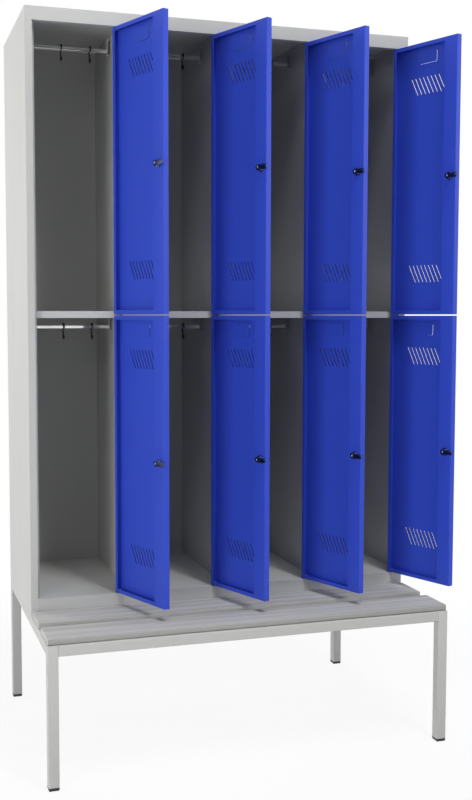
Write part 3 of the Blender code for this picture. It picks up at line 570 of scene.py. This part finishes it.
def fold_rings():
    """(inset from the leaf's edge, depth) of each ring, from the blank's edge to the lip."""
    quarter = [step * pi / 2 / FOLD_STEPS for step in range(FOLD_STEPS + 1)]
    first = [(FOLD_RADIUS * (1 - sin(a)), OUTER_FACE + FOLD_RADIUS * (1 - cos(a))) for a in quarter]
    second = [(FOLD_RADIUS * (1 - cos(a)), INNER_FACE - FOLD_RADIUS * (1 - sin(a))) for a in quarter]
    return [
        (FOLD_RADIUS + SUPPORT, OUTER_FACE), *first, (0.0, OUTER_FACE + FOLD_RADIUS + SUPPORT),
        (0.0, INNER_FACE - FOLD_RADIUS - SUPPORT), *second, (FOLD_RADIUS + SUPPORT, INNER_FACE),
    ]


def leaf_mesh():
    """The leaf in the door's own frame: the pin at nought, the outer face towards -Y."""
    shape = bmesh.new()

    def loop(points, depth):
        corners = [shape.verts.new((x, depth, z)) for x, z in points]
        for here, after in zip(corners, corners[1:] + corners[:1]):
            shape.edges.new((here, after))
        return corners

    def bridge(inner, outer, left_open=()):
        for step in range(len(inner)):
            following = (step + 1) % len(inner)
            if step not in left_open:
                shape.faces.new((inner[step], inner[following], outer[following], outer[step]))

    def rectangle(free, hinge, ends):
        left, right = PIN_FROM_EDGE - LEAF_WIDTH + free, PIN_FROM_EDGE - hinge
        return [(left, ends), (right, ends), (right, LEAF_HEIGHT - ends), (left, LEAF_HEIGHT - ends)]

    rings = [loop(rectangle(inset, inset, inset), depth) for inset, depth in fold_rings()]
    rings.append(loop(rectangle(FREE_LIP, LIP, LIP), INNER_FACE))
    card = [loop(field_outline(-FIELD_WALL / 2), OUTER_FACE)]
    slots = [loop(slot, OUTER_FACE) for slot in slot_outlines]
    on_skin = [
        edge for edge in shape.edges
        if all(abs(v.co.y - OUTER_FACE) < HAIR / 10 and v not in rings[1] for v in edge.verts)
    ]
    bmesh.ops.triangle_fill(shape, use_beauty=True, edges=on_skin, normal=(0.0, -1.0, 0.0))
    for face in list(shape.faces):
        if any(all(v in hole for v in face.verts) for hole in [card[0], *slots]):
            shape.faces.remove(face)
    for rim, outline in zip(slots, slot_outlines):
        bridge(rim, loop(outline, OUTER_FACE - SLOT_RIM))
    card.append(loop(field_outline(FIELD_WALL / 2), OUTER_FACE + FIELD_DEEP))
    bridge(*card, left_open=FIELD_SLIT)
    shape.faces.new(card[-1])
    for inner, outer in zip(rings, rings[1:]):
        bridge(inner, outer)
    bmesh.ops.recalc_face_normals(shape, faces=shape.faces)
    skin = max((face for face in shape.faces if abs(face.normal.y) > FLAT), key=BMFace.calc_area)
    if skin.calc_center_median().y * skin.normal.y < 0.0:
        bmesh.ops.reverse_faces(shape, faces=shape.faces)
    return settle(
        plain_mesh(shape, "door_leaf"),
        ("SOLIDIFY", {"thickness": SHEET, "offset": -1.0, "use_even_offset": True}),
        ("BEVEL", {"width": BROKEN_EDGE, "segments": 1,
                   "limit_method": "ANGLE", "angle_limit": radians(50)}),
    )


def is_cut(x, z):
    """True within a slot, or on the line round the name card field."""
    half_run = Vector((SLOT_LEAN, SLOT_TALL)) / 2
    for middle_x, middle_z in slot_middles:
        from_slot = Vector((x - middle_x, z - middle_z))
        share = max(-1.0, min(1.0, from_slot.dot(half_run) / half_run.length_squared))
        if (from_slot - half_run * share).length < SLOT_WIDE / 2 + SHEET / 4:
            return True
    beyond_x = abs(x - FIELD_MIDDLE.x) - FIELD_WIDE / 2
    beyond_z = abs(z - FIELD_MIDDLE.y) - FIELD_TALL / 2
    return abs(max(beyond_x, beyond_z)) < FIELD_CORNER / 3


leaf = leaf_mesh()
shade(leaf, paint_blue, painted_slot_shade)
# the walls of the slots and of the card field's slit take the painted shade
painted_shade_faces = [
    face for face in leaf.polygons
    if abs(face.normal.y) < STEEP and is_cut(face.center.x, face.center.z)
]
for face in painted_shade_faces:
    face.material_index = 1
print("door leaf:", len(leaf.polygons), "faces,", len(painted_shade_faces), "of them in cuts")

# %% [markdown]
# ## The cam lock
#
# Each door is held by a cam lock that sits in the wide flange. Its barrel is threaded and clamped by
# a hexagon nut on a washer, and those ride with the door. The plug turns inside the barrel, with a
# key slot in front and, on its back end, the cam under a cross-headed screw. The turned parts come
# from the lathe helper; the key slot and the cross are cut.

# %% Turn the barrel, washer and nut
LOCK_FROM_FREE_EDGE = 0.021
LOCK_AT = Vector((PIN_FROM_EDGE - LEAF_WIDTH + LOCK_FROM_FREE_EDGE, OUTER_FACE, LEAF_HEIGHT / 2))
LOCK_FRAME = Matrix.Translation(LOCK_AT) @ Matrix.Rotation(pi / 2, 4, "X")
BARREL_END, BARREL_RADIUS, BORE_RADIUS = -0.0312, 0.008, 0.0055
THREAD_TURNS, THREAD_PITCH, THREAD_DEPTH = 12, 0.001, 0.0004
WASHER_TOP, NUT_TOP, NUT_END = -0.0190, -0.0196, -0.0240
NUT_BORE = BARREL_RADIUS - THREAD_DEPTH / 2

thread = []
for turn in range(THREAD_TURNS):
    height = BARREL_END + THREAD_DEPTH + turn * THREAD_PITCH
    thread += [(BARREL_RADIUS - THREAD_DEPTH, height), (BARREL_RADIUS, height + THREAD_PITCH / 2)]
barrel_profile = [
    (BORE_RADIUS, BARREL_END), (BARREL_RADIUS - 0.0006, BARREL_END), *thread,
    (BARREL_RADIUS, -0.0004), (0.0106, 0.0), (0.011, 0.0005), (0.011, 0.0016), (0.0103, 0.0024),
    (0.0088, 0.0029), (0.0066, 0.0030), (0.0062, 0.0026), (BORE_RADIUS, 0.0025),
]
barrel = turned("lock_barrel", barrel_profile, 40, closed=True)
washer = turned("lock_washer", [
    (BARREL_RADIUS, WASHER_TOP), (0.0118, WASHER_TOP), (0.0120, -0.01925), (0.0120, -0.0194),
    (0.0118, NUT_TOP), (BARREL_RADIUS, NUT_TOP)], 36, closed=True)
nut = turned("lock_nut", [
    (NUT_BORE, NUT_TOP), (0.0110, NUT_TOP), (0.01195, -0.0203), (0.01195, -0.0233),
    (0.0110, NUT_END), (NUT_BORE, NUT_END)], 6, closed=True)
print("lock:", len(barrel.polygons), "faces on the barrel")

# %% Turn the plug and cut the cam
PLUG_RADIUS, CAM_TOP, CAM_BOTTOM = 0.0052, -0.0315, -0.0340
CAM_ROUND, CAM_WAIST_AT, CAM_REACH, CAM_ARC_STEPS = 0.008, 0.012, 0.038, 16
CAM_WAIST_HALF, CAM_TIP_HALF, CAM_CORNER = 0.0068, 0.0065, 0.004
KEY_SLOT = ((-0.0007, -0.0032, -0.0010), (0.0007, 0.0032, 0.0040))
CROSS_ARMS = (
    ((-0.0021, -0.0004, -0.0380), (0.0021, 0.0004, -0.0356)),
    ((-0.0004, -0.0021, -0.0380), (0.0004, 0.0021, -0.0356)),
)

plug = turned("lock_plug", [
    (0.0, 0.0028), (0.0046, 0.0028), (0.0050, 0.0026), (PLUG_RADIUS, 0.0022),
    (PLUG_RADIUS, CAM_TOP), (0.0, CAM_TOP)], 32)
plug = cut(plug, sawn_block("key_slot", *KEY_SLOT, 0.0002, 2, along=2))

cam_path = [
    (CAM_ROUND * sin(a), CAM_ROUND * cos(a))
    for a in [step * pi / CAM_ARC_STEPS for step in range(CAM_ARC_STEPS + 1)]
]
cam_path += [(p.x, p.y) for p in rounded_path([
    (0.0, -CAM_ROUND), (-CAM_WAIST_AT, -CAM_WAIST_HALF), (-CAM_REACH, -CAM_TIP_HALF),
    (-CAM_REACH, CAM_TIP_HALF), (-CAM_WAIST_AT, CAM_WAIST_HALF), (0.0, CAM_ROUND),
], CAM_CORNER)[1:-1]]
shape = bmesh.new()
bottom = shape.faces.new([shape.verts.new((x, y, CAM_BOTTOM)) for x, y in cam_path])
raised = bmesh.ops.extrude_face_region(shape, geom=[bottom], use_keep_orig=True)
bmesh.ops.translate(shape, verts=[v for v in raised["geom"] if isinstance(v, BMVert)],
                    vec=(0.0, 0.0, CAM_TOP - CAM_BOTTOM))
rims = [edge for edge in shape.edges if abs(edge.verts[0].co.z - edge.verts[1].co.z) < HAIR]
round_off(shape, rims, 2 * BROKEN_EDGE, 2)
cam_plate = finished(shape, "lock_cam_plate")

screw = turned("lock_screw", [
    (0.0, -0.0370), (0.0020, -0.0369), (0.0034, -0.0364), (0.0043, -0.0355), (0.0045, -0.0346),
    (0.0045, CAM_BOTTOM), (0.0, CAM_BOTTOM)], 28)
for arm in CROSS_ARMS:
    screw = cut(screw, sawn_block("cross", *arm, 0.0001, 1, along=2))
print("cam plate:", len(cam_plate.polygons), "faces")

# %% Hang the eight doors with their locks
def door_place(row, column):
    pin = Vector((column * COLUMN_PITCH - PIN_FROM_COLUMN, PIN_FROM_FACE, ROWS[row]))
    return Matrix.Translation(pin) @ Matrix.Rotation(DOOR_OPEN, 4, "Z")


for row, column in COMPARTMENTS:
    tag = f"{row}_{column}"
    hung = door_place(row, column)
    door = fit(f"leaf_{tag}", leaf, paint_blue, f"door_{tag}", hung)
    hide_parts(f"door_{tag}")
    locked = hung @ LOCK_FRAME
    for name, mesh in (("barrel", barrel), ("washer", washer), ("nut", nut)):
        fit(f"lock_{name}_{tag}", mesh, lock_metal, f"door_{tag}", locked)
    turning = fit(f"lock_cam_{tag}", cam_plate, cam_steel, f"cam_{tag}", locked)
    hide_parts(f"cam_{tag}")
    for name, mesh in (("plug", plug), ("screw", screw)):
        fit(f"lock_{name}_{tag}", mesh, lock_metal, f"cam_{tag}", locked)
print("doors hung:", len(COMPARTMENTS))

# %% [markdown]
# ## Hanging rails and hooks
#
# A rail is a strip of steel folded into a channel whose two lips nearly close it below. On each side
# wall a bracket holds it: a short piece of sheet bent to a U, whose two ends lie on the wall. Two
# wire hooks ride over the rail and slide along. Rail and bracket are each a path with rounded
# corners that is drawn out along X and given its thickness; the hook is a path with rounded bends
# that a round wire follows.

# %% Fold a rail and its brackets
RAIL_AT = 0.255
RAIL_UNDER = {"upper": 0.050, "lower": 0.047}
RAIL_DEEP, RAIL_HIGH, RAIL_LIP = 0.015, 0.0123, 0.0055
RAIL_BEND, BRACKET_BEND = 0.0014, 0.0025
BRACKET_STANDS_OFF, BRACKET_DEEP, BRACKET_LOW, BRACKET_HIGH = 0.010, 0.024, -0.014, 0.034


def wall_left(column):
    return (column - 1) * COLUMN_PITCH + (SHEET if column == 1 else SHEET / 2) + FIT_GAP


def wall_right(column):
    return column * COLUMN_PITCH - (SHEET if column == COLUMNS else SHEET / 2) - FIT_GAP


def strip_mesh(name, path, length):
    """Draw a path in the YZ plane out along X and give it the thickness of the sheet."""
    shape = bmesh.new()
    near = [shape.verts.new((0.0, y, z)) for y, z in path]
    far = [shape.verts.new((length, y, z)) for y, z in path]
    for step in range(len(path) - 1):
        shape.faces.new((near[step], far[step], far[step + 1], near[step + 1]))
    return settle(plain_mesh(shape, name),
                  ("SOLIDIFY", {"thickness": SHEET, "offset": 1.0, "use_even_offset": True}))


half_deep, half_high = RAIL_DEEP / 2, RAIL_HIGH / 2
inside_deep, inside_high = half_deep - SHEET, half_high - SHEET
channel = rounded_path([
    (half_deep - RAIL_LIP, -inside_high), (inside_deep, -inside_high), (inside_deep, inside_high),
    (-inside_deep, inside_high), (-inside_deep, -inside_high), (RAIL_LIP - half_deep, -inside_high),
], RAIL_BEND)
arm_at, web_at = (BRACKET_HIGH - BRACKET_LOW) / 2 - SHEET, BRACKET_STANDS_OFF - SHEET
u_corners = [(arm_at, 0.0), (arm_at, web_at), (-arm_at, web_at), (-arm_at, 0.0)]
bracket = strip_mesh("rail_bracket", rounded_path(u_corners, BRACKET_BEND), BRACKET_DEEP)
bracket_middle = (BRACKET_HIGH + BRACKET_LOW) / 2
inset = BRACKET_STANDS_OFF - SHEET / 2

for row, column in COMPARTMENTS:
    tag = f"{row}_{column}"
    left, right = wall_left(column), wall_right(column)
    height = CEILINGS[row] - RAIL_UNDER[row]
    rail_mesh = strip_mesh(f"rail_{tag}", channel, right - left - 2 * inset)
    rail = fit(f"rail_{tag}", rail_mesh, rail_steel, "cabinet",
               Matrix.Translation((left + inset, RAIL_AT, height)))
    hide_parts(f"hanging_rail_{tag}")
    for end, wall, facing in (("left", left, 1), ("right", right, -1)):
        upright = Matrix(((0, 0, facing), (facing, 0, 0), (0, 1, 0))).to_4x4()
        middle = (wall, RAIL_AT - facing * BRACKET_DEEP / 2, height + bracket_middle)
        fit(f"rail_bracket_{tag}_{end}", bracket, paint_grey, "cabinet",
            Matrix.Translation(middle) @ upright)
print("rails:", len(COMPARTMENTS))

# %% Bend the hooks
HOOK_PLACES = {"left": 0.1465, "right": 0.2365}
HOOK_BEND, WIRE_RADIUS, WIRE_SIDES = 0.0035, 0.0024, 14
DOME_SHARES = (0.35, 0.7, 0.95)
HOOK_PATH = (
    (-0.0106, -0.0045), (-0.0106, 0.0076), (-0.0080, 0.0100), (0.0080, 0.0100),
    (0.0106, 0.0076), (0.0106, -0.0080), (0.0050, -0.0135), (0.0035, -0.0200),
    (0.0060, -0.0280), (0.0045, -0.0345), (-0.0010, -0.0380), (-0.0080, -0.0355),
    (-0.0108, -0.0290),
)


def wire_mesh(name, path, radius):
    """Round wire along a path in the YZ plane, with domed ends."""
    shape = bmesh.new()
    rings = []
    points = [Vector((0.0, y, z)) for y, z in path]
    first, last = (points[0] - points[1]).normalized(), (points[-1] - points[-2]).normalized()
    stations = [(points[0], first, share) for share in reversed(DOME_SHARES)]
    stations += [(point, None, 0.0) for point in points]
    stations += [(points[-1], last, share) for share in DOME_SHARES]
    side = Vector((1.0, 0.0, 0.0))
    for number, (point, outward, share) in enumerate(stations):
        here = max(0, min(len(points) - 1, number - len(DOME_SHARES)))
        ahead, behind = points[min(here + 1, len(points) - 1)], points[max(here - 1, 0)]
        normal = side.cross((ahead - behind).normalized())
        if outward is not None:
            point = point + outward * radius * share
        size = radius * (1 - share ** 2) ** 0.5
        turns = [2 * pi * step / WIRE_SIDES for step in range(WIRE_SIDES)]
        around = [(side * cos(a) + normal * sin(a)) * size for a in turns]
        rings.append([shape.verts.new(point + away) for away in around])
    for lower, upper in zip(rings, rings[1:]):
        for step in range(WIRE_SIDES):
            following = (step + 1) % WIRE_SIDES
            shape.faces.new((lower[step], lower[following], upper[following], upper[step]))
    shape.faces.new(rings[0])
    shape.faces.new(rings[-1])
    return finished(shape, name)


hook = wire_mesh("hook", [(p.x, p.y) for p in rounded_path(HOOK_PATH, HOOK_BEND)], WIRE_RADIUS)
for row, column in COMPARTMENTS:
    for side, along in HOOK_PLACES.items():
        tag = f"{row}_{column}_{side}"
        place = ((column - 1) * COLUMN_PITCH + along, RAIL_AT, CEILINGS[row] - RAIL_UNDER[row])
        bent = fit(f"wire_hook_{tag}", hook, hook_wire, f"hook_{tag}",
                   Matrix.Translation(place))
        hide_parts(f"hook_{tag}")
print("hooks:", len(HOOK_PLACES) * len(COMPARTMENTS))

# %% [markdown]
# ## The bench
#
# The bench frame is welded from square tube. Its legs run up to the top and the other tubes butt
# against them, which leaves a fine line at each joint. Two wooden slats lie on the front part, held
# by screws from below, and a black plug closes the foot of each leg.

# %% Weld the frame
TUBE, TUBE_ROUND, JOINT_ROUND = 0.030, 0.0026, 0.0004
FOOT_TOP = 0.010
FRONT, BACK = -BENCH_REACH, CABINET_DEPTH
tubes = []
for side, x in (("left", 0.0), ("right", LOCKER_WIDTH - TUBE)):
    for end, y in (("front", FRONT), ("back", BACK - TUBE)):
        tubes.append((f"leg_{end}_{side}", (x, y, FOOT_TOP), (x + TUBE, y + TUBE, FRAME_TOP), 2))
    tubes.append((f"side_tube_{side}", (x, FRONT + TUBE, FRAME_TOP - TUBE),
                  (x + TUBE, BACK - TUBE, FRAME_TOP), 1))
for name, y in (("front_tube", FRONT), ("cross_tube", 0.0), ("back_tube", BACK - TUBE)):
    tubes.append((name, (TUBE, y, FRAME_TOP - TUBE), (LOCKER_WIDTH - TUBE, y + TUBE, FRAME_TOP), 0))
middle = (LOCKER_WIDTH - TUBE) / 2
tubes.append(("bearer", (middle, FRONT + TUBE, FRAME_TOP - TUBE),
              (middle + TUBE, 0.0, FRAME_TOP), 1))
for name, low, high, along in tubes:
    tube = fit(f"tube_{name}", sawn_block(name, low, high, TUBE_ROUND, 4, JOINT_ROUND, along),
               paint_grey, "cabinet")
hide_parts("bench_frame")
print("tubes:", len(tubes))

# %% Saw the slats and drive their screws
SLAT_LOW, SLAT_THICK, SLAT_WIDE, SLAT_IN = FRAME_TOP + FIT_GAP, 0.0177, 0.122, 0.002
SLAT_ROUND, SLAT_END_ROUND = 0.0045, 0.0015
SLAT_MIDDLES = {"rear": -0.073, "front": -0.233}
SCREW_FROM_MIDDLE = 0.025
SCREW_TOP = FRAME_TOP - TUBE - FIT_GAP
screw_head = turned("slat_screw", [
    (0.0, SCREW_TOP - 0.0030), (0.0020, SCREW_TOP - 0.0029), (0.0036, SCREW_TOP - 0.0023),
    (0.0044, SCREW_TOP - 0.0013), (0.0045, SCREW_TOP), (0.0, SCREW_TOP)], 20)
for row, y in SLAT_MIDDLES.items():
    low = (SLAT_IN, y - SLAT_WIDE / 2, SLAT_LOW)
    high = (LOCKER_WIDTH - SLAT_IN, y + SLAT_WIDE / 2, SLAT_LOW + SLAT_THICK)
    block = sawn_block(f"slat_{row}", low, high, SLAT_ROUND, 5, SLAT_END_ROUND)
    slat = fit(f"slat_{row}", block, slat_wood, "cabinet")
    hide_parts(f"bench_slat_{row}")
    for number, x in enumerate((TUBE / 2, LOCKER_WIDTH / 2, LOCKER_WIDTH - TUBE / 2)):
        for side in (-1, 1):
            name = f"slat_screw_{row}_{number}_{'front' if side < 0 else 'back'}"
            fit(name, screw_head, cam_steel, "cabinet",
                Matrix.Translation((x, y + side * SCREW_FROM_MIDDLE, 0.0)))
print("slats:", len(SLAT_MIDDLES))

# %% Press in the feet
FOOT_TALL, SOLE_ROUND = 0.0097, 0.0058
foot_shape = bmesh.new()
bmesh.ops.create_cube(foot_shape, size=1.0, matrix=Matrix.Translation((0.0, 0.0, FOOT_TALL / 2))
                      @ Matrix.Diagonal((TUBE, TUBE, FOOT_TALL, 1.0)))
uprights = [e for e in foot_shape.edges if abs(e.verts[0].co.z - e.verts[1].co.z) > SHEET]
round_off(foot_shape, uprights, TUBE_ROUND, 4)
sole = [e for e in foot_shape.edges if all(v.co.z < HAIR for v in e.verts)]
round_off(foot_shape, sole, SOLE_ROUND, 6)
foot = finished(foot_shape, "foot")
for side, x in (("left", TUBE / 2), ("right", LOCKER_WIDTH - TUBE / 2)):
    for end, y in (("front", FRONT + TUBE / 2), ("back", BACK - TUBE / 2)):
        plug_foot = fit(f"plug_foot_{end}_{side}", foot, black_plastic, "cabinet",
                        Matrix.Translation((x, y, 0.0)))
        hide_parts(f"foot_{end}_{side}")
print("foot:", len(foot.polygons), "faces")

# %% [markdown]
# ## Floor, room and lamps
#
# The photograph shows the locker on pure white. The floor and the room give that white to the camera
# and to mirrors alone, while all the light on the locker comes from soft lamps, so that no colour is
# bleached. Near the locker the floor still takes its shadow.

# %% A pale floor that fades into white
def seen_white(finish):
    """One where a ray comes from the camera, a mirror or a clear body."""
    rays = [finish.node("ShaderNodeLightPath", output=name) for name in
            ("Is Camera Ray", "Is Glossy Ray", "Is Transmission Ray")]
    return rays[0].maths("MAXIMUM", rays[0].maths("MAXIMUM", rays[0], rays[1]), rays[2])


FLOOR_HALF, FLOOR_LOW = 14.0, -0.0005
FULL_WHITE, SHADOWED_WHITE, FADE_FROM, FADE_TO = 1.0, 0.90, 0.9, 2.0
floor_shape = bmesh.new()
bmesh.ops.create_grid(floor_shape, x_segments=8, y_segments=8, size=FLOOR_HALF)
floor_mesh = plain_mesh(floor_shape, "floor")
floor = bpy.data.objects.new("floor", floor_mesh)
floor.location = (0.0, 0.0, FLOOR_LOW)
bpy.context.scene.collection.objects.link(floor)

pale = Finish("floor_white")
pale.surface(base_color=(0.86, 0.86, 0.86), roughness=0.9)
from_middle = pale.node("ShaderNodeVectorMath", {"operation": "LENGTH"}, {0: pale.place()}, "Value")
away_from_locker = pale.mask(from_middle, FADE_FROM, FADE_TO)
whiteness = SHADOWED_WHITE + (FULL_WHITE - SHADOWED_WHITE) * away_from_locker
white = pale.node("ShaderNodeEmission", None, {"Color": (1.0, 1.0, 1.0, 1.0), "Strength": 1.0})
blended = pale.node("ShaderNodeMixShader", None, {
    0: seen_white(pale) * whiteness, 1: Wire(pale, pale.shader.outputs[0]), 2: white})
pale.plug(pale.tree.nodes["Material Output"].inputs["Surface"], blended)
floor_mesh.materials.append(pale.owner)
print("floor laid")

# %% A room that is white to the eye and dark to the locker
world = bpy.data.worlds.new("room")
bpy.context.scene.world = world
room = Finish("room", world)
dark, bright = [
    room.node("ShaderNodeBackground", None, {"Color": (1.0, 1.0, 1.0, 1.0), "Strength": strength})
    for strength in (0.0, 1.0)
]
both = room.node("ShaderNodeMixShader", None, {0: seen_white(room), 1: dark, 2: bright})
room.plug(room.tree.nodes["World Output"].inputs["Surface"], both)
print("room:", world.name)

# %% Soft lamps
TARGET = Vector((0.0, -0.1, 1.1))
LAMP_DISTANCE = 6.0


def soft_lamp(name, azimuth, elevation, size, share):
    """Round lamp on a sphere about the locker; share is the part of plain white it gives face on."""
    lamp_data = bpy.data.lights.new(name, "AREA")
    lamp_data.shape = "DISK"
    lamp_data.size = size
    lamp_data.energy = share * (pi * LAMP_DISTANCE) ** 2
    lamp = bpy.data.objects.new(name, lamp_data)
    away = Vector((
        sin(radians(azimuth)) * cos(radians(elevation)),
        -cos(radians(azimuth)) * cos(radians(elevation)),
        sin(radians(elevation)),
    ))
    lamp.location = TARGET + away * LAMP_DISTANCE
    lamp.rotation_euler = (-away).to_track_quat("-Z", "Y").to_euler()
    bpy.context.scene.collection.objects.link(lamp)


LAMPS = {  # azimuth and elevation in degrees, size in metres, share of plain white
    "left_back_lamp": (-130.0, 10.0, 2.5, 0.340),
    "left_side_lamp": (-90.0, 10.0, 2.5, 0.110),
    "left_level_lamp": (-50.0, 1.0, 1.5, 0.295),
    "left_front_lamp": (-35.0, 20.0, 1.5, 0.080),
    "left_high_lamp": (-45.0, 45.0, 2.0, 0.045),
    "front_high_lamp": (-20.0, 60.0, 1.5, 0.115),
    "right_small_lamp": (14.0, 54.5, 0.8, 0.280),
    "right_high_lamp": (14.0, 70.0, 1.5, 0.310),
    "right_side_lamp": (60.0, 15.0, 2.5, 0.223),
    "back_lamp": (170.0, 45.0, 3.0, 0.300),
}
for name, (azimuth, elevation, size, share) in LAMPS.items():
    soft_lamp(name, azimuth, elevation, size, share)
print("lamps:", len(LAMPS))
